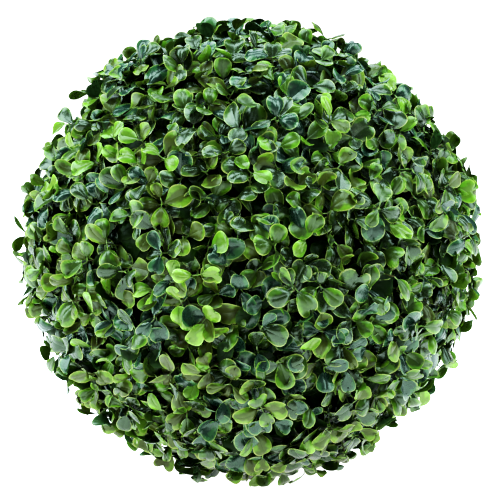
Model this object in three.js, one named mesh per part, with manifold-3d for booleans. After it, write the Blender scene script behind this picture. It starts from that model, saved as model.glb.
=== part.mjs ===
// Artificial box topiary ball, 380 mm across its leaf tips. It is two half balls of moulded leaf sprays that
// meet at the equator, carried on a short upright stem. Millimetres, +Z up, origin at the middle of the
// stem's flat cut, which stands on level ground.
import * as THREE from "three";
import { mergeVertices } from "three/addons/utils/BufferGeometryUtils.js";
import Module from "manifold-3d";

const wasm = await Module();
wasm.setup();

// Driving sizes of the ball. Radii are from its centre.
const BALL_RADIUS = 190; // to the outermost leaf tips
const CENTRE = new THREE.Vector3(0, 0, BALL_RADIUS); // the lowest tips just reach the ground
const CORE_RADIUS = 169; // the dense inside of the clipped crown
const CORE_DETAIL = 5;
const CLEAR = 0.3; // between pieces that meet, and a leaf keeps as much from the joint of the halves
const ROOM_SIDE = 3 * BALL_RADIUS; // of the box that a half is cut out with

// Driving sizes of a shoot: a three-sided twig that carries a whorl of leaves, each standing for one spray.
const SHOOTS = 160;
const GOLDEN_ANGLE = Math.PI * (3 - Math.sqrt(5));
const SHOOT_SHIFT = 4; // how far a shoot may stand from its even place
const SEAM_MARGIN = 4; // from a shoot's axis to the joint
const TWIG_ROOT_RADIUS = 163; // sunk in the core
const TWIG_TIP_RADIUS = 179;
const TWIG_THICK = 3.2;
const TWIG_THIN = 2.2;
const TWIG_SIDES = 3;

// Driving sizes of a leaf
const LEAF_SIDES = 5;
const LEAF_LENGTH = [34, 41];
const LEAF_WIDTH_SHARE = 0.82; // of its length
const LEAF_THICK = 1.4;
const LEAF_CUP = 2.6; // how far its middle lies under its rim
const LEAF_FULLNESS = 0.75; // under 1 its widest place is nearer its tip
const LEAF_BASE_RADII = [170.5, 173.5, 176.5]; // of the leaves of a shoot, each up to a shift further out
const LEAF_BASE_SHIFT = 1.5;
const LEAF_SUNK = 0.3; // past the twig's middle line
const LEAF_ROLL = 0.3; // radians either side
const LEAF_TIP_RADIUS = [184.5, BALL_RADIUS - 0.2];
const LEAF_TRIES = 9; // each turns it further from its even place and makes it smaller
const TRY_TURN = 0.17; // radians
const TRY_SIZE = 0.95;

// Driving sizes of the stem
const STEM_FOOT_RADIUS = 19;
const STEM_NECK_RADIUS = 13.5;
const STEM_FLARE_HEIGHT = 16;
const STEM_TIP_RADIUS = 10;
const STEM_TIP_HEIGHT = BALL_RADIUS + 40; // its tip stands in a socket in the upper half
const STEM_SIDES = 24;
const STEM_FLARE_STEPS = 5;

// What each repeatable number is for
const USE = { shiftX: 1, shiftY: 2, shiftZ: 3, whorl: 4, base: 5, tip: 6, roll: 7, length: 8 };
const WAVE_STEPS = { index: 12.9898, use: 78.233, leaf: 37.719 };
const WAVE_HEIGHT = 43758.5453;

// A repeatable number from 0 to 1 for each shoot, use and leaf: the fraction of a tall sine wave.
function share(index, use, leaf = 0) {
  const angle = index * WAVE_STEPS.index + use * WAVE_STEPS.use + leaf * WAVE_STEPS.leaf;
  const wave = Math.sin(angle) * WAVE_HEIGHT;
  return wave - Math.floor(wave);
}

function between([low, high], index, use, leaf) {
  return THREE.MathUtils.lerp(low, high, share(index, use, leaf));
}

// A geometry's closed shape as a solid, placed by a matrix.
function solidOf(geometry, matrix = new THREE.Matrix4()) {
  const bare = geometry.clone().applyMatrix4(matrix);
  bare.deleteAttribute("normal");
  bare.deleteAttribute("uv");
  const merged = mergeVertices(bare, 1e-4);
  return new wasm.Manifold(
    new wasm.Mesh({
      numProp: 3,
      vertProperties: merged.attributes.position.array,
      triVerts: new Uint32Array(merged.index.array),
    }),
  );
}

function geometryOf(solid) {
  const { numProp, numVert, vertProperties, triVerts } = solid.getMesh();
  const places = new Float32Array(numVert * 3);
  for (let i = 0; i < numVert; i++) {
    places.set(vertProperties.subarray(i * numProp, i * numProp + 3), i * 3);
  }
  const geometry = new THREE.BufferGeometry();
  geometry.setAttribute("position", new THREE.BufferAttribute(places, 3));
  geometry.setIndex(new THREE.BufferAttribute(triVerts, 1));
  geometry.computeVertexNormals();
  return geometry;
}

// The stem's radius at a height: a flare that dies out above the ground, on a long straight taper.
function stemRadius(height) {
  const taper = THREE.MathUtils.lerp(STEM_NECK_RADIUS, STEM_TIP_RADIUS, height / STEM_TIP_HEIGHT);
  const flare = Math.max(0, 1 - height / STEM_FLARE_HEIGHT) ** 2;
  return taper + (STEM_FOOT_RADIUS - STEM_NECK_RADIUS) * flare;
}

// The stem turned from its profile, or with a margin, the room that it needs.
function stemGeometry(margin = 0) {
  const heights = Array.from(
    { length: STEM_FLARE_STEPS + 1 },
    (_, i) => (STEM_FLARE_HEIGHT * i) / STEM_FLARE_STEPS,
  ).concat(CENTRE.z, STEM_TIP_HEIGHT);
  const profile = heights.map((z) => new THREE.Vector2(stemRadius(z) + margin, z));
  profile.unshift(new THREE.Vector2(0, -margin));
  profile[1].y -= margin;
  profile[profile.length - 1].y += margin;
  profile.push(new THREE.Vector2(0, STEM_TIP_HEIGHT + margin));
  return new THREE.LatheGeometry(profile, STEM_SIDES).rotateX(Math.PI / 2);
}

// The shoots stand at even places on a golden spiral round the ball, each shifted a little.
function shootDirection(index) {
  const height = 1 - (2 * index + 1) / SHOOTS;
  const ring = Math.sqrt(1 - height * height);
  const turn = index * GOLDEN_ANGLE;
  const shift = (use) => between([-SHOOT_SHIFT, SHOOT_SHIFT], index, use) / BALL_RADIUS;
  const direction = new THREE.Vector3(ring * Math.cos(turn), ring * Math.sin(turn), height);
  direction.add(new THREE.Vector3(shift(USE.shiftX), shift(USE.shiftY), shift(USE.shiftZ))).normalize();
  const least = SEAM_MARGIN / TWIG_TIP_RADIUS;
  if (Math.abs(direction.z) < least) {
    direction.z = direction.z < 0 ? -least : least;
    direction.normalize();
  }
  return direction;
}

// Unit vectors along the surface at a shoot: eastward and northward.
function surfaceAxes(outward) {
  const east = new THREE.Vector3(-outward.y, outward.x, 0).normalize();
  const north = new THREE.Vector3().crossVectors(outward, east);
  return { east, north };
}

function twigSolid(outward) {
  const height = TWIG_TIP_RADIUS - TWIG_ROOT_RADIUS;
  const twig = new THREE.CylinderGeometry(TWIG_THIN, TWIG_THICK, height, TWIG_SIDES);
  const turn = new THREE.Quaternion().setFromUnitVectors(new THREE.Vector3(0, 1, 0), outward);
  const middle = outward.clone().multiplyScalar(TWIG_ROOT_RADIUS + height / 2).add(CENTRE);
  return solidOf(twig, new THREE.Matrix4().compose(middle, turn, new THREE.Vector3(1, 1, 1)));
}

// A leaf with its base at the origin, its tip along +X and its cupped face up. It is a flat double pyramid:
// a five-sided rim, narrow at the base, with a point above and one below its sunk middle.
function leafGeometry(length) {
  const blade = new THREE.SphereGeometry(1, LEAF_SIDES, 2);
  const place = blade.attributes.position;
  const furthest = 1 + Math.cos(Math.PI / LEAF_SIDES);
  const widest = Math.sin((2 * Math.PI) / LEAF_SIDES);
  for (let i = 0; i < place.count; i++) {
    const along = length * ((place.getX(i) + 1) / furthest) ** LEAF_FULLNESS;
    const across = (place.getZ(i) / widest) * length * (LEAF_WIDTH_SHARE / 2);
    const above = Math.round(place.getY(i)); // 1 or -1 at the points, 0 on the rim
    const up = (above * LEAF_THICK) / 2 - Math.abs(above) * LEAF_CUP;
    place.setXYZ(i, along, -across, up);
  }
  return blade;
}

// Where a leaf of a shoot goes at one try: it leaves the twig at its base radius and rises until its tip
// reaches the clipped surface, which fixes its slope.
function leafMatrix(index, leaf, outward, length, tried) {
  const { east, north } = surfaceAxes(outward);
  const aside = (tried % 2 ? 1 : -1) * tried * TRY_TURN;
  const turn = 2 * Math.PI * (share(index, USE.whorl) + leaf / LEAF_BASE_RADII.length) + aside;
  const away = east.multiplyScalar(Math.cos(turn)).addScaledVector(north, Math.sin(turn));
  const base = LEAF_BASE_RADII[leaf] + LEAF_BASE_SHIFT * share(index, USE.base, leaf);
  const tip = between(LEAF_TIP_RADIUS, index, USE.tip, leaf);
  const slope = Math.asin((tip ** 2 - base ** 2 - length ** 2) / (2 * base * length));
  const along = away.clone().multiplyScalar(Math.cos(slope)).addScaledVector(outward, Math.sin(slope));
  const face = outward.clone().multiplyScalar(Math.cos(slope)).addScaledVector(away, -Math.sin(slope));
  face.applyAxisAngle(along, between([-LEAF_ROLL, LEAF_ROLL], index, USE.roll, leaf));
  const side = new THREE.Vector3().crossVectors(face, along);
  const start = outward.clone().multiplyScalar(base).addScaledVector(along, -LEAF_SUNK).add(CENTRE);
  return new THREE.Matrix4().makeBasis(along, side, face).setPosition(start);
}

const stemRoom = solidOf(stemGeometry(CLEAR));

// True if the leaf lies in its own half, inside the clipped ball and clear of the stem.
function hasRoom(leaf, half) {
  const { vertProperties } = leaf.getMesh();
  for (let i = 0; i < vertProperties.length; i += 3) {
    const fromCentre = new THREE.Vector3().fromArray(vertProperties, i).sub(CENTRE);
    if (fromCentre.z * half < CLEAR || fromCentre.length() > BALL_RADIUS) {
      return false;
    }
  }
  return leaf.intersect(stemRoom).isEmpty();
}

// The leaves of one shoot. Each is tried until it has room and crosses no leaf of another shoot, and one
// that never does is left out.
function growLeaves(index, outward, half, grown) {
  const reach = (2 * LEAF_LENGTH[1]) / BALL_RADIUS;
  const others = grown.filter((other) => other.outward.angleTo(outward) < reach);
  for (let leaf = 0; leaf < LEAF_BASE_RADII.length; leaf++) {
    for (let tried = 0; tried < LEAF_TRIES; tried++) {
      const length = between(LEAF_LENGTH, index, USE.length, leaf) * TRY_SIZE ** tried;
      const solid = solidOf(leafGeometry(length), leafMatrix(index, leaf, outward, length, tried));
      if (hasRoom(solid, half) && others.every((other) => solid.intersect(other.solid).isEmpty())) {
        grown.push({ solid, outward });
        break;
      }
    }
  }
}

// One half of the crown: half of the core, cut clear of the stem, and the shoots that stand out of it.
function foliageSolid(half) {
  const room = new THREE.BoxGeometry(ROOM_SIDE, ROOM_SIDE, ROOM_SIDE);
  room.translate(0, 0, CENTRE.z + (half * (ROOM_SIDE + CLEAR)) / 2);
  const core = new THREE.IcosahedronGeometry(CORE_RADIUS, CORE_DETAIL).translate(0, 0, CENTRE.z);
  let mass = solidOf(core).intersect(solidOf(room)).subtract(stemRoom);
  const leaves = [];
  for (let index = 0; index < SHOOTS; index++) {
    const outward = shootDirection(index);
    const twig = twigSolid(outward);
    if (outward.z * half > 0 && twig.intersect(stemRoom).isEmpty()) {
      mass = mass.add(twig);
      growLeaves(index, outward, half, leaves);
    }
  }
  for (const leaf of leaves) {
    mass = mass.add(leaf.solid);
  }
  return mass;
}

const leafPlastic = new THREE.MeshStandardMaterial({ color: 0x4a7032, roughness: 0.4, metalness: 0 });
const stemPlastic = new THREE.MeshStandardMaterial({ color: 0x4b3a27, roughness: 0.7, metalness: 0 });

const ball = new THREE.Group();

function addPiece(name, geometry, material) {
  const mesh = new THREE.Mesh(geometry, material);
  mesh.name = name;
  ball.add(mesh);
}

addPiece("stem", geometryOf(solidOf(stemGeometry())), stemPlastic);
addPiece("foliage_upper_half", geometryOf(foliageSolid(1)), leafPlastic);
addPiece("foliage_lower_half", geometryOf(foliageSolid(-1)), leafPlastic);

export default ball;
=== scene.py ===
# Artificial box topiary ball: moulded leaf sprays on two lattice half shells round a short stem.
# The ball's sizes are in millimetres, in the frame's own axes, and the studio's are in metres. Each mesh
# is made in metres.
import math

import bpy
import numpy as np
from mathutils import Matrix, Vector


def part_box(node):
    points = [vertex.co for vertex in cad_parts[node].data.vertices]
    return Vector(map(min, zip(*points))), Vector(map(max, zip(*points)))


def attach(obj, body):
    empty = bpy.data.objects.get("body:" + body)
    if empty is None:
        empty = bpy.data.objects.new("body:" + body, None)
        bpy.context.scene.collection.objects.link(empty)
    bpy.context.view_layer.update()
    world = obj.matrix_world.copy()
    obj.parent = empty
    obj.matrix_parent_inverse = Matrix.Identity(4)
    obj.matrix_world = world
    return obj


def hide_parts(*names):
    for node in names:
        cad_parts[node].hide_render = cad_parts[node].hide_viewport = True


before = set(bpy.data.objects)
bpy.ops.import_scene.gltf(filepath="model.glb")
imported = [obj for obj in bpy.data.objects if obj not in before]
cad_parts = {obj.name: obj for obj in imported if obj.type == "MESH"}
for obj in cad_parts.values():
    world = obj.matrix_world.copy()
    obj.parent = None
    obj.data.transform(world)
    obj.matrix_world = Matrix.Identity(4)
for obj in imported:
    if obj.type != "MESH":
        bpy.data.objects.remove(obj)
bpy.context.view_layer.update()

MM = 0.001
HALVES = {"upper": 1, "lower": -1}
SEAM_HEIGHT = (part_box("foliage_upper_half")[0].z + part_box("foliage_lower_half")[1].z) / 2 / MM
BALL_RADIUS = SEAM_HEIGHT  # the ball stands on the ground on its lowest leaf tips
CENTRE = np.array([0, 0, SEAM_HEIGHT])
GOLDEN_ANGLE = math.pi * (3 - math.sqrt(5))
SEED = 41
SMOOTH_UP_TO = math.radians(60)  # edges sharper than this stay sharp

# Shoots, as in the part's source: they stand on a golden spiral, each shifted a little
SHOOTS = 160
SHOOT_SHIFT = 4
USE = {"shift_x": 1, "shift_y": 2, "shift_z": 3, "whorl": 4}
WAVE_STEPS = {"index": 12.9898, "use": 78.233}
WAVE_HEIGHT = 43758.5453

# Sprigs: each shoot forks into one straight on and the others in the directions of its whorl
FORKS = 5
FORK_REACH = 25
EVEN_SPACING = 22  # sprigs closer than this push each other apart
EVEN_ROUNDS = 16
EVEN_STEP = 0.25
MOST_LEAN = 0.5  # the tangent of a sprig's greatest lean from straight out
MISSING_SPRIGS = 0.065
TIP_REACH = 190  # the mean distance from the centre to a sprig's furthest leaf tip
SHOOT_SPREAD = 3.9  # the standard deviation of that from shoot to shoot
SPRIG_SPREAD = 3.2  # and from sprig to sprig of one shoot
LEAST_REACH, MOST_REACH = 180, 196
FIRST_DEPTH = 8  # a sprig's tip starts this far inside its reach
SETTLING_ROUNDS = 6
LOW_SPRIGS = -0.8  # a sprig that points lower than this
GROUND_GAP = 0.8  # stays this far above the ground
STEM_ROOM = 0.8

# Twigs: a curve from the shell to the lowest leaves of a sprig, then straight to its tip
SPRIG_LENGTH = 27
TWIG_ROOT = 1  # inside the shell's bars
TWIG_ROOT_PULL = 9
TWIG_LEAF_PULL = 5
TWIG_CURVE_STEPS = 5
TWIG_PAST_TIP = 0.8
TWIG_RADII = [1.4, 1.2, 1.0, 0.9, 0.8, 0.5]
TWIG_SIDES = 5

# Pairs of leaves on a sprig, from its tip down
PAIR_BELOW_TIP = np.array([0.0, 5.0, 10.5, 17.0, 24.0])
PAIR_SLOPE = np.radians([30, 21, 14, 9, 4])
PAIR_LENGTH = np.array([16.0, 18.5, 20.0, 20.5, 20.5])
YOUNG_PAIRS = 1
INNER_PAIR = 2  # pairs from here down have darker tints, painted shade for leaves deeper in the ball
SHADED_PAIR = 3  # pairs from here down have the shade tint, a dark colour that paints the shade deep in the ball
MISSING_LEAVES = 0.13
TURN_SPREAD = 0.32  # standard deviations, in radians
SLOPE_SPREAD = 0.28
ROLL_SPREAD = 0.34
LENGTH_SPREAD = 0.1  # and as a share of the pair's length
LENGTH_LIMITS = (0.7, 1.25)
FACE_OUT = 0.58  # how far a leaf turns its face from its sprig's way to straight out

# Leaf stalks: from the twig's skin to a little way under the blade
STALK_START = 0.4
STALK_LENGTH = 2.8
STALK_LAP = 1.2
STALK_RADII = [0.6, 0.42]
STALK_SIDES = 3

# A leaf's outline runs from its base round the tip, and rings run from its midrib to the rim
RIM_STEPS = 9  # from the base to the tip
RIM_CROWDING = 1.7  # crowds them towards the tip
UPPER_RINGS, UNDER_RINGS = (0, 0.5, 1), (0.5, 0)
# Leaves in the shade have every second step, and no ring between the midrib and the rim
PLAIN_EVERY, PLAIN_UPPER_RINGS, PLAIN_UNDER_RINGS = 2, (0, 1), (0,)
HALF_WIDTH = 0.64
BASE_TAPER = 0.65
TIP_ROUNDING = 2.4
MIDRIB_SHARE = 0.78
LEAF_THICK = 0.45
UNDER_SHARE = 0.5  # how much of an underside's colour is its own

# How leaves differ, for length 1: mean and standard deviation, then least and most
LEAF_SPREADS = {
    "width": (1.0, 0.1),
    "cup": (0.4, 0.8),
    "fold": (0.02, 0.1),
    "bend": (0.2, 0.22),
    "twist": (0, 0.25),
    "pillow": (0.28, 0.2),
    "wave": (0.025, 0.02),
}
LEAF_LIMITS = {"width": (0.75, 1.25), "fold": (0, 0.4), "wave": (0, 0.07)}
LEAF_RANGES = {
    "taper": (BASE_TAPER - 0.15, BASE_TAPER + 0.2),
    "ripple": (0, 0.012),
    "lobed notch": (0.15, 0.32),
    "plain notch": (-0.03, 0.05),
    "waves": (0.8, 1.6),
}
LOBED_SHARE = 0.2
LOBED_WIDER = 0.2
YOUNG_CUP = 0.3
NOTCH_WIDTH = 0.12
NOTCH_FADE = 4  # the notch fades towards the base as this power of the rim place
BOWL_LENGTHWISE = 0.45
RIPPLES_ACROSS, RIPPLES_ALONG = 9, 8
RIPPLE_SHIFT_ACROSS, RIPPLE_SHIFT_ALONG = 6, 9

# Bake map: each leaf has a cell of a grid, with its upper side on the left and its under side on the right
CELL_SHAPE = 1.7  # width over height
CELL_UPPER_MIDDLE = 0.25
CELL_TO_UNDER = 0.5
CELL_LEAF_WIDTH = 0.56
CELL_LEAF_START, CELL_LEAF_LENGTH = 0.03, 0.94

# Moulded lattice half shells: rings of latitude and arcs of longitude
SHELL_RADIUS = 149
SHELL_BAR = (4.6, 2.2)  # across the shell's face and through its wall
SHELL_FLANGE = (7.0, 3.0)
SHELL_RINGS = 11
SHELL_TOP = math.radians(84)
SHELL_MERIDIANS = 36
SHORT_MERIDIAN = 0.72  # every second one ends lower, where they would crowd
MERIDIAN_START = 0.02
RING_STEPS, MERIDIAN_STEPS = 96, 18

# The stem's profile is the source's: a flare that dies out, on a long straight taper
STEM_FOOT_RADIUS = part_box("stem")[1].x / MM
STEM_NECK_RADIUS = 13.5
STEM_FLARE_HEIGHT = 16
STEM_TIP_RADIUS = 10
STEM_TIP_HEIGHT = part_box("stem")[1].z / MM

# Bark relief, as shares of the stem's radius
BARK_STEPS_UP, BARK_STEPS_ROUND = 90, 56
BARK_CROWDING = 1.3  # crowds the steps towards the foot
# Upright ridges: how many go round, their height, and the size, height and start of their wander
BARK_RIDGES = ((9, 1, 1.2, 9, 0), (17, 0.6, -1.6, 6, 1))
BARK_RELIEF = 0.035
BARK_SINK = 0.03  # sets the bark in, so that its ridges stand little proud of the solid stem
BREAK_SHARE = 0.3
BREAK_HEIGHT = 1.9
BREAK_WANDER, BREAKS_ROUND = 3, 3
FOOT_FADE = 2  # the relief dies out over this height

# Tints of the leaves: heart, edge, rim, underside, flecks. Each underside colour is the back's own, made
# lighter as painted light, since backs that face the camera lie in shade.
TINTS = {
    # The shade tint is painted shade: near-black greens for the innermost leaves, deep in the ball
    "shade": ("#0e1d03", "#162b04", "#26380a", "#122204", "#0e1d03"),
    "deep": ("#18240a", "#344c0f", "#868c4a", "#466016", "#26350d"),
    "blue": ("#13271e", "#2a4c2a", "#82904e", "#3e5e2c", "#213a28"),
    "mid": ("#2c3c0e", "#4e7414", "#8c984c", "#5e7c1e", "#405012"),
    "olive": ("#373e11", "#547416", "#8e924e", "#485a19", "#444615"),
    "bronze": ("#333611", "#4e6418", "#808446", "#424e19", "#3e3a13"),
    "lime": ("#486214", "#5a8c18", "#8aa846", "#4e7019", "#52681b"),
    "fresh": ("#546e20", "#6c9c28", "#9cbc5c", "#5c802a", "#647c2c"),
}
# Gloss of the leaves: least and most roughness, and specular level. The shaded ones are dull, so that their
# painted shade stays dark.
DULLED_FOR_SHADE = ((0.4, 0.5), 0.1)
DULL = ((0.31, 0.41), 0.3)
WAXY = ((0.27, 0.37), 0.43)
GLOSSY = ((0.22, 0.32), 0.5)
FINISHES = {
    "shade": DULLED_FOR_SHADE,
    "deep": GLOSSY,
    "blue": GLOSSY,
    "mid": WAXY,
    "olive": DULL,
    "bronze": DULL,
    "lime": WAXY,
    "fresh": WAXY,
}
OLD_TINTS = {"deep": 0.34, "blue": 0.25, "mid": 0.17, "olive": 0.14, "bronze": 0.1}
YOUNG_TINTS = {"lime": 0.1, "fresh": 0.03, "mid": 0.27, "olive": 0.21, "deep": 0.21, "blue": 0.18}
# Inner pairs draw darker tints, painted shade deeper in the ball
SHADED_INNER_TINTS = {"shade": 0.12, "deep": 0.48, "blue": 0.22, "bronze": 0.18}
ALIKE = 0.65  # share of sprigs that take their shoot's tint
STRAY = 0.2  # share of leaves that don't take their spray's tint

# Plastics, from typical values, with the sizes of their patterns in millimetres
POLYETHYLENE_IOR = 1.51
POLYPROPYLENE_IOR = 1.49
ACRYLIC_IOR = 1.49
SHEEN_TINT = "#f1ffea"  # a little of the green skin's colour shows in its gloss
PATCH_SIZE = 9
PATCH_SHIFT = 1.2  # the most that a patch moves the edge colour, as a share of the half width
HEART_ENDS, EDGE_STARTS = 0.52, 0.9
FLECK_SIZE = 2
FLECK_LEVELS = {"From Min": 0.5, "From Max": 0.72, "To Max": 0.45}
RIM_BAND = {"From Min": 0.885, "From Max": 0.955}
RIM_LEAST, RIM_WEAR = 0.3, 0.8
DENT_SIZE = 5
DENT_HEIGHT = 0.5
DOME_HEIGHT = 2.3
DOME_START, DOME_TURN = 0.3 * math.pi, 0.7 * math.pi
LEAF_BUMP = {"Strength": 0.5, "Distance": 1.2 * MM}
TWIG_PATCH_SIZE = 5
TWIG_BUMP = {"Strength": 0.3, "Distance": 0.3 * MM}
YOUNG_ENDS, OLD_STARTS = 0.4, 0.62
TWIG_COLOURS = ("#4a6226", "#4c3d22")
STALK_COLOURS = ("#64802e", "#54662a")
# The lattice has its own dark green, darkened to near black as painted shade for the depths between the
# sprigs
LATTICE_SHADE_COLOURS = ("#0b1a06", "#0f2208")
WAXY_TWIG, DULL_LATTICE = 0.5, 0.8
BARK_GRAIN_SIZE = 3
BARK_STRETCH = (1, 1, 0.22)
# The bark's browns are darkened as painted shade, so that the stem's foot reads as a dark gap under the
# leaves
DARKENED_BARK_STOPS = [(0.35, "#20180f"), (0.55, "#3a2c1c"), (0.75, "#5e4c37")]
BARK_BUMP = {"Strength": 0.6, "Distance": 0.6 * MM}
BARK_ROUGHNESS = 0.68
TABLE_CLOUD_SIZE = 60
TABLE_STOPS = [(0.3, "#f2f2f2"), (0.7, "#f8f8f8")]
TABLE_ROUGHNESS = 0.6
TABLE_LIGHT = 1.8

# Sockets of a Math node that adds, of one that multiplies and then adds, and of a Mix node for colours
ONE, OTHER = 0, 1
VALUE, TIMES, PLUS = 0, 1, 2
MIX_SHARE, MIX_FIRST, MIX_SECOND, MIX_RESULT = 0, 6, 7, 2

# Studio: soft lights by azimuth and elevation in degrees, width and watts
LIGHTS = {
    "top_left": (-75, 48, 1.0, 56),
    "top_right": (75, 48, 1.0, 45),
    "left": (-84, 15, 1.0, 41),
    "right": (84, 15, 1.0, 27),
    "behind": (180, 46, 1.3, 30),
    "above": (0, 79, 1.0, 47),
    "front": (-15, 25, 0.5, 2),
}
LIGHT_DISTANCE = 1.7
LIGHT_COLOUR = (0.71, 0.93, 0.96)  # cool daylight, as linear light
SURROUND_COLOUR = (0.72, 0.92, 0.97, 1)
SURROUND_STRENGTH = 0.3
FLOOR_SIDE = 40.0

# Camera: a little above the ball, so that the table fills the picture. The ball is this wide in it.
FRAME_PIXELS = 500
BALL_PIXELS = 463
CAMERA_DISTANCE = 1.6
CAMERA_ELEVATION = math.radians(10)
SENSOR_MM = 36
CLIP_START = 0.05

# Film
EXPOSURE = -0.27
GAMMA = 0.88
PIXEL_SPREAD = 1.3  # how many pixels a ray's light spreads over
BLACK_LEVEL = 0.0025
COMBINED_CURVE = 3  # the curve that bends red, green and blue alike
# Scene light in and out: darker darks, lighter middle tones and softer highlights
CONTRAST = [
    (0.03, 0.019),
    (0.085, 0.066),
    (0.2, 0.2),
    (0.31, 0.347),
    (0.45, 0.518),
    (0.6, 0.664),
    (0.8, 0.82),
    (1.0, 0.955),
]

rng = np.random.default_rng(SEED)


def share(index, use):
    """The source's repeatable number from 0 to 1: the fraction of a tall sine wave of the index."""
    wave = np.sin(index * WAVE_STEPS["index"] + USE[use] * WAVE_STEPS["use"]) * WAVE_HEIGHT
    return wave - np.floor(wave)


def unit(vectors):
    """Each vector divided by its length."""
    return vectors / np.linalg.norm(vectors, axis=-1, keepdims=True)


def surface_axes(outward):
    """Unit vectors along the ball's surface at each place: eastward and northward."""
    east = unit(np.stack([-outward[:, 1], outward[:, 0], 0 * outward[:, 0]], 1))
    return east, np.cross(outward, east)


def shoot_directions():
    """Place i of n on the spiral is at height 1 - (2i + 1) / n and at i golden angles, then shifted."""
    index = np.arange(SHOOTS)
    height = 1 - (2 * index + 1) / SHOOTS
    ring = np.sqrt(1 - height**2)
    turn = index * GOLDEN_ANGLE
    places = np.stack([ring * np.cos(turn), ring * np.sin(turn), height], 1)
    shifts = np.stack([share(index, "shift_" + axis) for axis in "xyz"], 1)
    return unit(places + (2 * shifts - 1) * SHOOT_SHIFT / BALL_RADIUS)


def sprig_directions(shoots):
    """A shoot's sprigs point along it and at its whorl's angles round it. Each then moves away from its
    neighbours by its share of the overlap, a few times over, until they stand evenly."""
    turn = 2 * np.pi * share(np.arange(SHOOTS), "whorl")
    east, north = surface_axes(shoots)
    found = [shoots]
    for fork in range(FORKS):
        angle = (turn + 2 * np.pi * fork / FORKS)[:, None]
        away = np.cos(angle) * east + np.sin(angle) * north
        found.append(unit(shoots + away * FORK_REACH / BALL_RADIUS))
    sprigs = np.concatenate(found)
    not_itself = np.eye(len(sprigs)) * 2 * EVEN_SPACING
    for _ in range(EVEN_ROUNDS):
        apart = sprigs[:, None] - sprigs[None]
        distance = np.linalg.norm(apart, axis=2) * BALL_RADIUS + not_itself
        push = np.clip(1 - distance / EVEN_SPACING, 0, None) / distance
        sprigs = unit(sprigs + EVEN_STEP * (apart * push[:, :, None]).sum(1) * EVEN_SPACING)
    return sprigs


def leaf_template(every, upper_rings, under_rings):
    """Points and faces of a leaf, on a grid of rim places by rings. Rim step s of n is at 1 - (|s| / n)^c
    of the leaf's length, and one step in every so many is taken. Each point has that place, its ring from
    the midrib to the rim, its side of the midrib, and whether it is on the under side. Places that are the
    same point, at the base, the midrib and the rim, are merged, so the blade is a closed thin shell."""
    step = np.arange(-RIM_STEPS, RIM_STEPS + 1, every)
    along = 1 - (np.abs(step) / RIM_STEPS) ** RIM_CROWDING
    rings = np.array(upper_rings + under_rings)[:, None]
    below = np.array([0] * len(upper_rings) + [1] * len(under_rings))[:, None]
    off_base = along > 0
    side = np.sign(step) * (rings > 0) * off_base
    places = np.stack([along + 0 * rings, rings * off_base, side, below * off_base], 2)
    points, place = np.unique(places.reshape(-1, 4), axis=0, return_inverse=True)
    grid = place.reshape(len(rings), -1)
    quads = np.stack([grid[:-1, :-1], grid[:-1, 1:], grid[1:, 1:], grid[1:, :-1]], 2)
    face_under = np.repeat(below[1:, 0], quads.shape[1])
    faces = [tuple(dict.fromkeys(quad)) for quad in quads.reshape(-1, 4).tolist()]
    return points, faces, face_under


FULL_LEAF = leaf_template(1, UPPER_RINGS, UNDER_RINGS)
PLAIN_LEAF = leaf_template(PLAIN_EVERY, PLAIN_UPPER_RINGS, PLAIN_UNDER_RINGS)


def half_width(along, taper):
    """Half the leaf's width at rim place a, for length 1: W a^taper times the root of 1 - a^rounding."""
    return HALF_WIDTH * along**taper * np.sqrt(1 - along**TIP_ROUNDING)


def flat_leaf(points, taper):
    """The leaf's flat outline for length 1: each ring lies its share of the way from the midrib, which ends
    short of the tip, to the rim."""
    along, ring, side, _ = points.T
    return side * ring * half_width(along, taper), along * (MIDRIB_SHARE + (1 - MIDRIB_SHARE) * ring)


def leaf_shapes(length, form):
    """Leaves as (leaf, point, xyz), base at the origin, tip along +Y, face up. The outline is widened, and
    notched at its tip by a bell curve. The height is cup (x^2 + bowl (y - 1/2)^2) + fold |x| - bend y^2
    + twist x y + pillow half_width (1 - ring^2) + wave sin(place along the rim) ring^2
    + ripple sin(across) sin(along), for length 1."""
    points = FULL_LEAF[0]
    flat_x, flat_y = flat_leaf(points, form["taper"])
    along, ring, side, under = points.T
    x = flat_x * form["width"]
    y = flat_y - form["notch"] * ring**2 * np.exp(-((flat_x / NOTCH_WIDTH) ** 2)) * along**NOTCH_FADE
    wave = form["wave"] * np.sin(2 * np.pi * (form["waves"] * along * side + form["phase"])) * ring**2
    ripple_across = np.sin(RIPPLES_ACROSS * x + RIPPLE_SHIFT_ACROSS * form["phase"])
    ripple_along = np.sin(RIPPLES_ALONG * y + RIPPLE_SHIFT_ALONG * form["waves"])
    ripple = form["ripple"] * ripple_across * ripple_along
    bowl = x**2 + BOWL_LENGTHWISE * (y - 0.5) ** 2
    up = form["cup"] * bowl + form["fold"] * abs(x) - form["bend"] * y**2 + form["twist"] * x * y
    pillow = form["pillow"] * half_width(along, form["taper"]) * (1 - ring**2)
    up = up + pillow + wave + ripple
    blades = np.stack([x, y, up], 2) * length[:, None, None]
    blades[:, :, 2] -= under * LEAF_THICK
    return blades


def leaf_forms(count, young):
    """How each leaf differs. Most are cupped, folded or pillowed a little, some curl back, and some are
    two-lobed: wider, with a deeper notch."""
    def spread(kind):
        return rng.normal(*LEAF_SPREADS[kind], (count, 1))

    def within(kind):
        return rng.uniform(*LEAF_RANGES[kind], (count, 1))

    lobed = rng.random((count, 1)) < LOBED_SHARE
    return {
        "width": np.clip(spread("width"), *LEAF_LIMITS["width"]) + LOBED_WIDER * lobed,
        "taper": within("taper"),
        "ripple": within("ripple"),
        "notch": np.where(lobed, within("lobed notch"), within("plain notch")),
        "cup": spread("cup") + YOUNG_CUP * young[:, None],
        "fold": np.clip(spread("fold"), *LEAF_LIMITS["fold"]),
        "bend": spread("bend"),
        "twist": spread("twist"),
        "pillow": spread("pillow"),
        "wave": np.clip(spread("wave"), *LEAF_LIMITS["wave"]),
        "waves": within("waves"),
        "phase": rng.random((count, 1)),
    }


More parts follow.
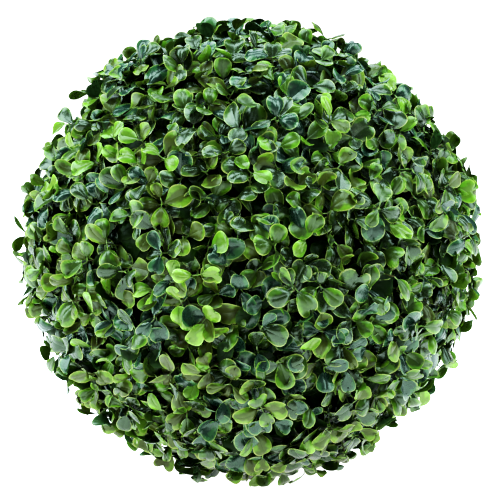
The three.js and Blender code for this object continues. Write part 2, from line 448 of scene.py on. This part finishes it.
def sprig_axes(sprigs):
    """A sprig's axis leans from straight out by a step along the surface: at a random bearing, and as long
    as the root of a random share of the greatest lean. Two more directions stand square to it."""
    count = len(sprigs)
    east, north = surface_axes(sprigs)
    bearing = rng.uniform(0, 2 * np.pi, (count, 1))
    lean = MOST_LEAN * np.sqrt(rng.random((count, 1)))
    axis = unit(sprigs + lean * (np.cos(bearing) * east + np.sin(bearing) * north))
    side = unit(np.cross(axis, rng.normal(0, 1, (count, 3))))
    return axis, side, np.cross(axis, side)


def aim_leaves(turn, slope, roll, axes, straight_out):
    """A leaf leaves its sprig at cos(turn) times one side plus sin(turn) times the other, and runs along
    cos(slope) times that plus sin(slope) times the axis. Its face is turned part of the way to straight
    out, and the leaf is then rolled about its own length."""
    axis, side, front = axes
    out = np.cos(turn) * side + np.sin(turn) * front
    along = np.cos(slope) * out + np.sin(slope) * axis
    face = -np.sin(slope) * out + np.cos(slope) * axis
    face = unit(face * (1 - FACE_OUT) + straight_out * FACE_OUT)
    across = unit(np.cross(along, face))
    face = np.cross(across, along)
    rolled = np.cos(roll) * across + np.sin(roll) * face
    return out, rolled, along, np.cos(roll) * face - np.sin(roll) * across


def tip_radii(local, sprigs, sprig):
    """How far out each sprig's tip stands. Each round moves it by what its furthest point lacks to its
    reach, or for a low sprig by the way to the ground along its direction, if that is less."""
    count = len(sprigs)
    of_shoot = np.tile(rng.normal(0, SHOOT_SPREAD, SHOOTS), FORKS + 1)
    reach = np.clip(TIP_REACH + of_shoot + rng.normal(0, SPRIG_SPREAD, count), LEAST_REACH, MOST_REACH)
    is_low = sprigs[:, 2] < LOW_SPRIGS
    radius = reach - FIRST_DEPTH
    for _ in range(SETTLING_ROUNDS):
        placed = local + (sprigs * radius[:, None])[sprig][:, None]
        furthest = np.zeros(count)
        np.maximum.at(furthest, sprig, np.linalg.norm(placed, axis=2).max(1))
        lowest = np.full(count, BALL_RADIUS)
        np.minimum.at(lowest, sprig, placed[:, :, 2].min(1) + BALL_RADIUS - GROUND_GAP)
        to_ground = np.where(is_low, lowest / np.where(is_low, -sprigs[:, 2], 1), BALL_RADIUS)
        radius += np.minimum(reach - furthest, to_ground)
    return radius


def grow_sprigs(sprigs):
    """Leaves of all the sprigs, less the missing ones. They stand in pairs, twins half a turn apart and
    each pair a quarter turn from the last, and each rises by its pair's slope."""
    count = len(sprigs)
    pairs = len(PAIR_LENGTH)
    axis, side, front = sprig_axes(sprigs)

    sprig = np.repeat(np.arange(count), pairs * 2)
    pair = np.tile(np.repeat(np.arange(pairs), 2), count)
    twin = np.tile([0, 1], count * pairs)
    kept = rng.random(len(sprig)) > MISSING_LEAVES
    sprig, pair, twin = sprig[kept], pair[kept], twin[kept]
    total = len(sprig)

    turn = np.pi * twin + np.pi / 2 * pair + rng.normal(0, TURN_SPREAD, total)
    slope = PAIR_SLOPE[pair] + rng.normal(0, SLOPE_SPREAD, total)
    length = PAIR_LENGTH[pair] * np.clip(rng.normal(1, LENGTH_SPREAD, total), *LENGTH_LIMITS)
    roll = rng.normal(0, ROLL_SPREAD, total)
    axes = (axis[sprig], side[sprig], front[sprig])
    out, across, along, face = aim_leaves(
        turn[:, None], slope[:, None], roll[:, None], axes, sprigs[sprig]
    )

    shapes = leaf_shapes(length, leaf_forms(total, pair < YOUNG_PAIRS))
    turned = np.einsum("lpk,lkx->lpx", shapes, np.stack([across, along, face], 1))
    foot = -PAIR_BELOW_TIP[pair][:, None] * axis[sprig] + STALK_START * out
    base = foot + STALK_LENGTH * along
    local = turned + base[:, None]
    tip = sprigs * tip_radii(local, sprigs, sprig)[:, None] + CENTRE
    return {
        "tip": tip,
        "axis": axis,
        "sprig": sprig,
        "pair": pair,
        "blades": local + tip[sprig][:, None],
        "stalk_foot": foot + tip[sprig],
        "stalk_end": base + STALK_LAP * along + tip[sprig],
    }


def mesh_object(name, points, faces, copies, material, values=None, bake_map=None):
    """A piece of many copies of one set of faces. points is (copies x points, xyz) in millimetres. values
    are attributes as (domain, numbers of one copy), and bake_map is (copies x corners, uv)."""
    corners = np.concatenate([np.array(face) for face in faces])
    sizes = np.array([len(face) for face in faces])
    each = len(points) // copies
    all_corners = (corners[None] + each * np.arange(copies)[:, None]).ravel()
    all_starts = np.concatenate([[0], np.cumsum(np.tile(sizes, copies))[:-1]])
    mesh = bpy.data.meshes.new(name)
    mesh.vertices.add(len(points))
    mesh.vertices.foreach_set("co", (points * MM).astype(np.float32).ravel())
    mesh.loops.add(len(all_corners))
    mesh.loops.foreach_set("vertex_index", all_corners.astype(np.int32))
    mesh.polygons.add(len(all_starts))
    mesh.polygons.foreach_set("loop_start", all_starts.astype(np.int32))
    mesh.polygons.foreach_set("use_smooth", np.ones(len(all_starts), bool))
    mesh.update(calc_edges=True)
    for key, (domain, numbers) in (values or {}).items():
        attribute = mesh.attributes.new(key, "FLOAT", domain)
        attribute.data.foreach_set("value", np.tile(numbers, copies).astype(np.float32))
    if bake_map is not None:
        layer = mesh.uv_layers.new(name="OFBake")
        layer.data.foreach_set("uv", bake_map.astype(np.float32).ravel())
    mesh.set_sharp_from_angle(angle=SMOOTH_UP_TO)
    mesh.materials.append(material)
    piece = bpy.data.objects.new(name, mesh)
    bpy.context.scene.collection.objects.link(piece)
    return piece


def dress(piece, slot, *nodes):
    """Puts a piece on the body and hides the nodes that it stands in for. The slot is not used."""
    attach(piece, "root")
    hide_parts(*nodes)


def leaf_piece(name, blades, material, template):
    """Joins leaves into one piece, each with only the points that its template has. The bake map lays the
    flat outline of every leaf's upper and under side in a cell of a grid."""
    points, faces, face_under = template
    _, ring, _, _ = points.T
    used = (FULL_LEAF[0][None] == points[:, None]).all(2).argmax(1)
    blades = blades[:, used]
    corners = np.concatenate(faces)
    corner_under = np.repeat(face_under, [len(face) for face in faces])
    copies = len(blades)
    flat_x, flat_y = flat_leaf(points, BASE_TAPER)
    columns = math.ceil(math.sqrt(copies / CELL_SHAPE))
    rows = math.ceil(copies / columns)
    sheet_x = CELL_UPPER_MIDDLE + CELL_TO_UNDER * corner_under + CELL_LEAF_WIDTH * flat_x[corners]
    sheet_y = CELL_LEAF_START + CELL_LEAF_LENGTH * flat_y[corners]
    cell = np.stack([np.arange(copies) % columns, np.arange(copies) // columns], 1)
    baked = (cell[:, None] + np.stack([sheet_x, sheet_y], 1)[None]) / [columns, rows]
    return mesh_object(
        name,
        blades.reshape(-1, 3),
        faces,
        copies,
        material,
        values={"to_rim": ("POINT", ring), "under": ("FACE", face_under * UNDER_SHARE)},
        bake_map=baked.reshape(-1, 2),
    )


def tube_faces(steps, sides, closed=False):
    """Faces of a tube of steps rings with sides points each. An open one is capped at both ends."""
    faces = []
    for step in range(steps if closed else steps - 1):
        near, far = step * sides, (step + 1) % steps * sides
        for one in range(sides):
            two = (one + 1) % sides
            faces.append((near + one, near + two, far + two, far + one))
    if not closed:
        faces.append(tuple(range(sides))[::-1])
        faces.append(tuple(range((steps - 1) * sides, steps * sides)))
    return faces


def tube_points(paths, radii, sides):
    """Tubes round paths (tube, step, xyz): at each step a ring of the step's radius, square to the path.
    Ring corner k is at cos(turn) times one normal plus sin(turn) times the other. The first normal is
    also square to the axis that the path runs least along."""
    heading = unit(np.gradient(paths, axis=1))
    chord = paths[:, -1] - paths[:, 0]
    least = np.eye(3)[np.argmin(abs(chord), 1)]
    first = unit(np.cross(heading, least[:, None]))
    second = np.cross(heading, first)
    turn = 2 * np.pi * np.arange(sides) / sides
    ring = np.cos(turn)[:, None] * first[:, :, None] + np.sin(turn)[:, None] * second[:, :, None]
    return paths[:, :, None] + ring * np.array(radii)[:, None, None]


def tubes(name, paths, radii, sides, material):
    """A piece of tubes round paths, with the same radii on each."""
    points = tube_points(paths, radii, sides)
    count, steps = paths.shape[:2]
    return mesh_object(name, points.reshape(-1, 3), tube_faces(steps, sides), count, material)


def sprig_paths(shoots, sprigs, grown):
    """A sprig's twig leaves its shoot at the shell, bends to its lowest leaves by the cubic curve
    (1 - t)^3 A + 3 t (1 - t)^2 B + 3 t^2 (1 - t) C + t^3 D, and runs straight to its tip."""
    root = np.tile(shoots, (FORKS + 1, 1))
    start = root * (SHELL_RADIUS - TWIG_ROOT) + CENTRE
    leaving = start + root * TWIG_ROOT_PULL
    lowest_leaf = grown["tip"] - grown["axis"] * SPRIG_LENGTH
    arriving = lowest_leaf - grown["axis"] * TWIG_LEAF_PULL
    t = np.linspace(0, 1, TWIG_CURVE_STEPS)[:, None]
    curve = (
        (1 - t) ** 3 * start[:, None] + 3 * t * (1 - t) ** 2 * leaving[:, None]
        + 3 * t**2 * (1 - t) * arriving[:, None] + t**3 * lowest_leaf[:, None]
    )
    end = grown["tip"][:, None] + grown["axis"][:, None] * TWIG_PAST_TIP
    return np.concatenate([curve, end], 1)


def sphere_places(latitude, longitude):
    """Unit vectors (cos lat cos lon, cos lat sin lon, sin lat)."""
    flat = np.cos(latitude)
    up = np.sin(latitude) + 0 * longitude
    return np.stack([flat * np.cos(longitude), flat * np.sin(longitude), up], 1)


def bar_points(line, outward, across, section):
    """A bar of four-cornered section along a line: its corners are half its width along one direction and
    half its depth along the other from each point of the line."""
    width, depth = section
    corners = [(-1, -1), (1, -1), (1, 1), (-1, 1)]
    return np.stack(
        [line + across * width / 2 * x + outward * depth / 2 * y for x, y in corners], 1
    )


def shell_piece(name, half, material):
    """One lattice half shell: rings of latitude and arcs of longitude of a sphere, all of one bar, and a
    stouter flange at the joint."""
    points, faces = [], []

    def add_bar(outward, across, section, closed):
        start = sum(len(part) for part in points)
        bar = bar_points(outward * SHELL_RADIUS + CENTRE, outward, across, section)
        points.append(bar.reshape(-1, 3))
        found = tube_faces(len(bar), len(bar[0]), closed)
        faces.extend(tuple(start + corner for corner in face) for face in found)

    around = np.linspace(0, 2 * np.pi, RING_STEPS, endpoint=False)
    rings = [(SHELL_FLANGE, SHELL_FLANGE[0] / 2 / SHELL_RADIUS)]
    rings += [(SHELL_BAR, SHELL_TOP * ring / SHELL_RINGS) for ring in range(1, SHELL_RINGS + 1)]
    for section, latitude in rings:
        outward = sphere_places(latitude * half, around)
        east, north = surface_axes(outward)
        add_bar(outward, north, section, closed=True)
    for meridian in range(SHELL_MERIDIANS):
        top = SHELL_TOP if meridian % 2 == 0 else SHELL_TOP * SHORT_MERIDIAN
        upwards = np.linspace(MERIDIAN_START, top, MERIDIAN_STEPS) * half
        outward = sphere_places(upwards, 2 * np.pi * meridian / SHELL_MERIDIANS)
        east, north = surface_axes(outward)
        add_bar(outward, -east * half, SHELL_BAR, closed=False)
    return mesh_object(name, np.concatenate(points), faces, 1, material)


def stem_radius(z):
    """A long straight taper plus a flare that dies out as the square of the height left in it."""
    flare = np.clip(1 - z / STEM_FLARE_HEIGHT, 0, None) ** 2 * (STEM_FOOT_RADIUS - STEM_NECK_RADIUS)
    return STEM_NECK_RADIUS + (STEM_TIP_RADIUS - STEM_NECK_RADIUS) * z / STEM_TIP_HEIGHT + flare


def clear_of_stem(blades):
    """Which leaves have every point further from the stem's axis than its radius there, and some room."""
    x, y, z = np.moveaxis(blades, 2, 0)
    room = np.hypot(x, y) - stem_radius(z) - STEM_ROOM
    return (np.where(z < STEM_TIP_HEIGHT, room, 1) > 0).all(1)


def stem_piece(material):
    """The stem: radius(z) times 1 + relief. The relief is long upright ridges, sines of the angle whose
    phase wanders with height, crossed by breaks, sines of the height. It fades out at the flat foot."""
    z = np.linspace(0, 1, BARK_STEPS_UP)[:, None] ** BARK_CROWDING * STEM_TIP_HEIGHT
    turn = np.linspace(0, 2 * np.pi, BARK_STEPS_ROUND, endpoint=False)[None]
    ridges = sum(
        high * np.sin(count * turn + wander * np.sin(z / tall + start))
        for count, high, wander, tall, start in BARK_RIDGES
    )
    breaks = np.sin(z / BREAK_HEIGHT + BREAK_WANDER * np.sin(BREAKS_ROUND * turn))
    broken = ridges * (1 - BREAK_SHARE + BREAK_SHARE * breaks)
    relief = (BARK_RELIEF * broken - BARK_SINK) * np.clip(z / FOOT_FADE, 0, 1)
    around = stem_radius(z) * (1 + relief)
    grid = np.stack([around * np.cos(turn), around * np.sin(turn), z + 0 * turn], 2)
    return mesh_object("stem_bark", grid.reshape(-1, 3), tube_faces(len(z), turn.size), 1, material)


def linear(hex_colour):
    """An sRGB hex colour as linear red, green, blue and alpha: a part c is c / 12.92 where it is dark, and
    ((c + 0.055) / 1.055)^2.4 elsewhere."""
    parts = [int(hex_colour[i : i + 2], 16) / 255 for i in (1, 3, 5)]
    return [c / 12.92 if c <= 0.04045 else ((c + 0.055) / 1.055) ** 2.4 for c in parts] + [1]


def add_node(tree, kind, settings=None, links=None):
    """Adds a node, sets its own settings and its sockets' values, and links the sockets given."""
    node = tree.nodes.new(kind)
    for key, value in (settings or {}).items():
        if isinstance(key, int) or key in node.inputs:
            node.inputs[key].default_value = value
        else:
            setattr(node, key, value)
    for key, source in (links or {}).items():
        tree.links.new(source, node.inputs[key])
    return node


def new_material(name):
    """A material with no nodes yet, and its node tree."""
    material = bpy.data.materials.new(name)
    material.use_nodes = True
    material.node_tree.nodes.clear()
    return material, material.node_tree


def set_ramp(ramp, stops):
    """Gives a colour ramp its stops, as (position, sRGB hex)."""
    elements = ramp.color_ramp.elements
    while len(elements) > 1:
        elements.remove(elements[-1])
    elements[0].position = stops[0][0]
    elements[0].color = linear(stops[0][1])
    for position, colour in stops[1:]:
        elements.new(position).color = linear(colour)


def moulded_leaf(name, colours, roughness, specular):
    """Polyethylene leaf, injection moulded and hand finished: a glossy skin over a colour that runs from a
    dark heart to a brighter edge, a thin pale rim where the mould parted, a domed blade and a dull back."""
    heart, edge, rim, under, fleck = colours
    material, tree = new_material(name)
    ring = add_node(tree, "ShaderNodeAttribute", {"attribute_name": "to_rim"})
    below = add_node(tree, "ShaderNodeAttribute", {"attribute_name": "under"})
    place = add_node(tree, "ShaderNodeTexCoord")
    # The edge colour spreads inwards unevenly, as sprayed paint does
    patches = add_node(
        tree,
        "ShaderNodeTexNoise",
        {"Scale": 1 / (PATCH_SIZE * MM), "Detail": 2},
        {"Vector": place.outputs["Object"]},
    )
    shifted = add_node(
        tree,
        "ShaderNodeMath",
        {"operation": "MULTIPLY_ADD", TIMES: 2 * PATCH_SHIFT, PLUS: -PATCH_SHIFT},
        {VALUE: patches.outputs[0]},
    )
    zone = add_node(
        tree,
        "ShaderNodeMath",
        {"operation": "ADD"},
        {ONE: ring.outputs["Fac"], OTHER: shifted.outputs[0]},
    )
    blade = add_node(tree, "ShaderNodeValToRGB", links={"Fac": zone.outputs[0]})
    set_ramp(blade, [(HEART_ENDS, heart), (EDGE_STARTS, edge)])
    # Flecks in the plastic keep the tint from looking like one flat paint
    flecks = add_node(
        tree,
        "ShaderNodeTexNoise",
        {"Scale": 1 / (FLECK_SIZE * MM), "Detail": 3},
        {"Vector": place.outputs["Object"]},
    )
    fleck_amount = add_node(tree, "ShaderNodeMapRange", FLECK_LEVELS, {"Value": flecks.outputs[0]})
    flecked = add_node(
        tree,
        "ShaderNodeMix",
        {"data_type": "RGBA", MIX_SECOND: linear(fleck)},
        {MIX_SHARE: fleck_amount.outputs[0], MIX_FIRST: blade.outputs[0]},
    )
    # The rim shows more where flecks are dense, as if its paint were worn
    rim_most = add_node(
        tree,
        "ShaderNodeMath",
        {"operation": "MULTIPLY_ADD", TIMES: RIM_WEAR, PLUS: RIM_LEAST},
        {VALUE: flecks.outputs[0]},
    )
    rim_amount = add_node(
        tree,
        "ShaderNodeMapRange",
        RIM_BAND,
        {"Value": ring.outputs["Fac"], "To Max": rim_most.outputs[0]},
    )
    rimmed = add_node(
        tree,
        "ShaderNodeMix",
        {"data_type": "RGBA", MIX_SECOND: linear(rim)},
        {MIX_SHARE: rim_amount.outputs[0], MIX_FIRST: flecked.outputs[MIX_RESULT]},
    )
    # The underside's own colour, lightened as painted light, since backs that face the camera lie in shade
    both = add_node(
        tree,
        "ShaderNodeMix",
        {"data_type": "RGBA", MIX_SECOND: linear(under)},
        {MIX_SHARE: below.outputs["Fac"], MIX_FIRST: rimmed.outputs[MIX_RESULT]},
    )
    # Dents where the mould pressed the blade bend its highlights a little
    dents = add_node(
        tree,
        "ShaderNodeTexNoise",
        {"Scale": 1 / (DENT_SIZE * MM), "Detail": 1},
        {"Vector": place.outputs["Object"]},
    )
    shallow = add_node(
        tree, "ShaderNodeMath", {"operation": "MULTIPLY", TIMES: DENT_HEIGHT}, {VALUE: dents.outputs[0]}
    )
    # The blade is domed: a sine of the way to the rim, so the midrib lies in a faint valley
    turn = add_node(
        tree,
        "ShaderNodeMath",
        {"operation": "MULTIPLY_ADD", TIMES: DOME_TURN, PLUS: DOME_START},
        {VALUE: ring.outputs["Fac"]},
    )
    swell = add_node(tree, "ShaderNodeMath", {"operation": "SINE"}, {VALUE: turn.outputs[0]})
    height = add_node(
        tree,
        "ShaderNodeMath",
        {"operation": "MULTIPLY_ADD", TIMES: DOME_HEIGHT},
        {VALUE: swell.outputs[0], PLUS: shallow.outputs[0]},
    )
    bump = add_node(tree, "ShaderNodeBump", LEAF_BUMP, {"Height": height.outputs[0]})
    # The gloss is as uneven as the paint
    skin = add_node(
        tree,
        "ShaderNodeMapRange",
        {"To Min": roughness[0], "To Max": roughness[1]},
        {"Value": patches.outputs[0]},
    )
    shader = add_node(
        tree,
        "ShaderNodeBsdfPrincipled",
        {"IOR": POLYETHYLENE_IOR, "Specular IOR Level": specular, "Specular Tint": linear(SHEEN_TINT)},
        {
            "Base Color": both.outputs[MIX_RESULT],
            "Roughness": skin.outputs[0],
            "Normal": bump.outputs[0],
        },
    )
    add_node(tree, "ShaderNodeOutputMaterial", links={"Surface": shader.outputs[0]})
    return material


def moulded_twig(name, colours, roughness):
    """Polyethylene twig, moulded with its leaves: waxy or dull, with patches of a second, older colour."""
    young, old = colours
    material, tree = new_material(name)
    place = add_node(tree, "ShaderNodeTexCoord")
    patches = add_node(
        tree,
        "ShaderNodeTexNoise",
        {"Scale": 1 / (TWIG_PATCH_SIZE * MM), "Detail": 2},
        {"Vector": place.outputs["Object"]},
    )
    colour = add_node(tree, "ShaderNodeValToRGB", links={"Fac": patches.outputs[0]})
    set_ramp(colour, [(YOUNG_ENDS, young), (OLD_STARTS, old)])
    bump = add_node(tree, "ShaderNodeBump", TWIG_BUMP, {"Height": patches.outputs[0]})
    shader = add_node(
        tree,
        "ShaderNodeBsdfPrincipled",
        {"IOR": POLYETHYLENE_IOR, "Roughness": roughness},
        {"Base Color": colour.outputs[0], "Normal": bump.outputs[0]},
    )
    add_node(tree, "ShaderNodeOutputMaterial", links={"Surface": shader.outputs[0]})
    return material


def moulded_bark(name):
    """Polypropylene moulded in a bark-grained tool and dry brushed: dull brown, paler on its ridges, and
    darkened overall as painted shade.
    """
    material, tree = new_material(name)
    place = add_node(tree, "ShaderNodeTexCoord")
    stretch = add_node(
        tree, "ShaderNodeMapping", {"Scale": BARK_STRETCH}, {"Vector": place.outputs["Object"]}
    )
    grain = add_node(
        tree,
        "ShaderNodeTexNoise",
        {"Scale": 1 / (BARK_GRAIN_SIZE * MM), "Detail": 5},
        {"Vector": stretch.outputs[0]},
    )
    colour = add_node(tree, "ShaderNodeValToRGB", links={"Fac": grain.outputs[0]})
    set_ramp(colour, DARKENED_BARK_STOPS)
    bump = add_node(tree, "ShaderNodeBump", BARK_BUMP, {"Height": grain.outputs[0]})
    shader = add_node(
        tree,
        "ShaderNodeBsdfPrincipled",
        {"IOR": POLYPROPYLENE_IOR, "Roughness": BARK_ROUGHNESS},
        {"Base Color": colour.outputs[0], "Normal": bump.outputs[0]},
    )
    add_node(tree, "ShaderNodeOutputMaterial", links={"Surface": shader.outputs[0]})
    return material


def lit_acrylic(name):
    """Opal acrylic, cast, with lamps under it: white and satin, and it lights the ball from below."""
    material, tree = new_material(name)
    place = add_node(tree, "ShaderNodeTexCoord")
    cloud = add_node(
        tree,
        "ShaderNodeTexNoise",
        {"Scale": 1 / (TABLE_CLOUD_SIZE * MM), "Detail": 2},
        {"Vector": place.outputs["Object"]},
    )
    colour = add_node(tree, "ShaderNodeValToRGB", links={"Fac": cloud.outputs[0]})
    set_ramp(colour, TABLE_STOPS)
    shader = add_node(
        tree,
        "ShaderNodeBsdfPrincipled",
        {
            "IOR": ACRYLIC_IOR,
            "Roughness": TABLE_ROUGHNESS,
            "Emission Color": linear("#ffffff"),
            "Emission Strength": TABLE_LIGHT,
        },
        {"Base Color": colour.outputs[0]},
    )
    add_node(tree, "ShaderNodeOutputMaterial", links={"Surface": shader.outputs[0]})
    return material


def deal_tints(grown, count):
    """Each shoot and each sprig draws one tint for its old leaves, one for its young and one for its inner
    ones, which are darker as painted shade. Most sprigs take their shoot's, a few leaves stray, and the
    innermost have the shade tint, painted shade too."""
    pair = grown["pair"]
    strays = rng.random(len(pair)) < STRAY
    alike = rng.random(count) < ALIKE
    tints = np.empty(len(pair), dtype=object)
    for ages, first in ((YOUNG_TINTS, 0), (OLD_TINTS, YOUNG_PAIRS), (SHADED_INNER_TINTS, INNER_PAIR)):
        names, shares = list(ages), np.array(list(ages.values()))
        of_shoot = np.tile(rng.choice(names, SHOOTS, p=shares / shares.sum()), FORKS + 1)
        of_sprig = rng.choice(names, count, p=shares / shares.sum())
        of_spray = np.where(alike, of_shoot, of_sprig)[grown["sprig"]]
        of_leaf = rng.choice(names, len(pair), p=shares / shares.sum())
        chosen = pair >= first
        tints[chosen] = np.where(strays, of_leaf, of_spray)[chosen]
    tints[pair >= SHADED_PAIR] = "shade"
    return tints


def build_ball():
    """Grows the sprigs and builds each half: its leaves by tint, its twigs, leaf stalks and lattice."""
    shoots = shoot_directions()
    sprigs = sprig_directions(shoots)
    grown = grow_sprigs(sprigs)
    tints = deal_tints(grown, len(sprigs))
    present = rng.random(len(sprigs)) <= 1 - MISSING_SPRIGS
    above = sprigs[:, 2] > 0
    off_stem = clear_of_stem(grown["blades"])
    paths = sprig_paths(shoots, sprigs, grown)

    leaf_materials = {
        tint: moulded_leaf("moulded polyethylene leaf, " + tint, colours, *FINISHES[tint])
        for tint, colours in TINTS.items()
    }
    twig_material = moulded_twig("moulded polyethylene twig", TWIG_COLOURS, WAXY_TWIG)
    stalk_material = moulded_twig("moulded polyethylene leaf stalk", STALK_COLOURS, WAXY_TWIG)
    # The lattice takes near-black greens, painted shade for the depths of the ball
    shell_material = moulded_twig("moulded polyethylene lattice", LATTICE_SHADE_COLOURS, DULL_LATTICE)

    for half, sign in HALVES.items():
        node = f"foliage_{half}_half"
        here = present & (above if sign > 0 else ~above)
        leaf_here = here[grown["sprig"]] & off_stem
        for tint, material in leaf_materials.items():
            blades = grown["blades"][leaf_here & (tints == tint)]
            template = PLAIN_LEAF if tint == "shade" else FULL_LEAF
            dress(leaf_piece(f"leaves_{tint}_{half}", blades, material, template), "leaf", node)
        twigs = tubes(f"twigs_{half}", paths[here], TWIG_RADII, TWIG_SIDES, twig_material)
        dress(twigs, "leaf", node)
        ends = np.stack([grown["stalk_foot"], grown["stalk_end"]], 1)[leaf_here & (tints != "shade")]
        stalks = tubes(f"leaf_stalks_{half}", ends, STALK_RADII, STALK_SIDES, stalk_material)
        dress(stalks, "leaf", node)
        dress(shell_piece(f"lattice_shell_{half}", sign, shell_material), "leaf", node)


def studio_floor():
    """A flat square at the ground, far wider than the picture."""
    edge = FLOOR_SIDE / 2
    corners = [(-edge, -edge, 0), (edge, -edge, 0), (edge, edge, 0), (-edge, edge, 0)]
    mesh = bpy.data.meshes.new("studio_floor")
    mesh.from_pydata(corners, [], [(0, 1, 2, 3)])
    mesh.materials.append(lit_acrylic("opal acrylic table, lit from below"))
    floor = bpy.data.objects.new("studio_floor", mesh)
    bpy.context.scene.collection.objects.link(floor)
    return floor


def softbox(name, azimuth, elevation, side, watts):
    """A square soft light that faces the ball from an azimuth and elevation in degrees."""
    light = bpy.data.lights.new(name, "AREA")
    light.size = side
    light.color = LIGHT_COLOUR
    light.energy = watts
    lamp = bpy.data.objects.new(name, light)
    around, up = math.radians(azimuth), math.radians(elevation)
    way = Vector((math.sin(around) * math.cos(up), -math.cos(around) * math.cos(up), math.sin(up)))
    lamp.location = Vector(CENTRE * MM) + way * LIGHT_DISTANCE
    lamp.rotation_euler = way.to_track_quat("Z", "Y").to_euler()
    bpy.context.scene.collection.objects.link(lamp)


def set_film(scene):
    """Exposure, gamma and a contrast curve, which the photo's deep shadows and soft highlights need."""
    scene.cycles.filter_width = PIXEL_SPREAD
    view = scene.view_settings
    view.view_transform = "Standard"
    view.exposure = EXPOSURE
    view.gamma = GAMMA
    view.use_curve_mapping = True
    view.curve_mapping.black_level = (BLACK_LEVEL,) * 3
    curve = view.curve_mapping.curves[COMBINED_CURVE].points
    curve[-1].location = CONTRAST[-1]
    for place in CONTRAST[:-1]:
        curve.new(*place)
    view.curve_mapping.update()


def set_camera(scene):
    """The camera looks at the ball's middle from in front and a little above. Its lens makes the ball,
    which fills the angle asin(radius / distance) to each side, as wide as the photo has it."""
    camera_data = bpy.data.cameras.new("camera")
    camera = bpy.data.objects.new("camera", camera_data)
    scene.collection.objects.link(camera)
    scene.camera = camera
    middle = CENTRE * MM
    camera.location = (
        middle[0],
        middle[1] - CAMERA_DISTANCE * math.cos(CAMERA_ELEVATION),
        middle[2] + CAMERA_DISTANCE * math.sin(CAMERA_ELEVATION),
    )
    camera.rotation_euler = (math.pi / 2 - CAMERA_ELEVATION, 0, 0)
    half_angle = math.asin(BALL_RADIUS * MM / CAMERA_DISTANCE)
    camera_data.sensor_width = SENSOR_MM
    camera_data.lens = SENSOR_MM * BALL_PIXELS / FRAME_PIXELS / 2 / math.tan(half_angle)
    camera_data.clip_start = CLIP_START


build_ball()
dress(stem_piece(moulded_bark("moulded polypropylene bark")), "stem", "stem")

floor = studio_floor()

# An even pale surround, which the leaves' gloss picks up between the lights
scene = bpy.context.scene
scene.world = bpy.data.worlds.new("white_surround")
scene.world.use_nodes = True
surround = scene.world.node_tree.nodes["Background"].inputs
surround["Color"].default_value = SURROUND_COLOUR
surround["Strength"].default_value = SURROUND_STRENGTH
for name, (azimuth, elevation, side, watts) in LIGHTS.items():
    softbox(name, azimuth, elevation, side, watts)
set_film(scene)
set_camera(scene)
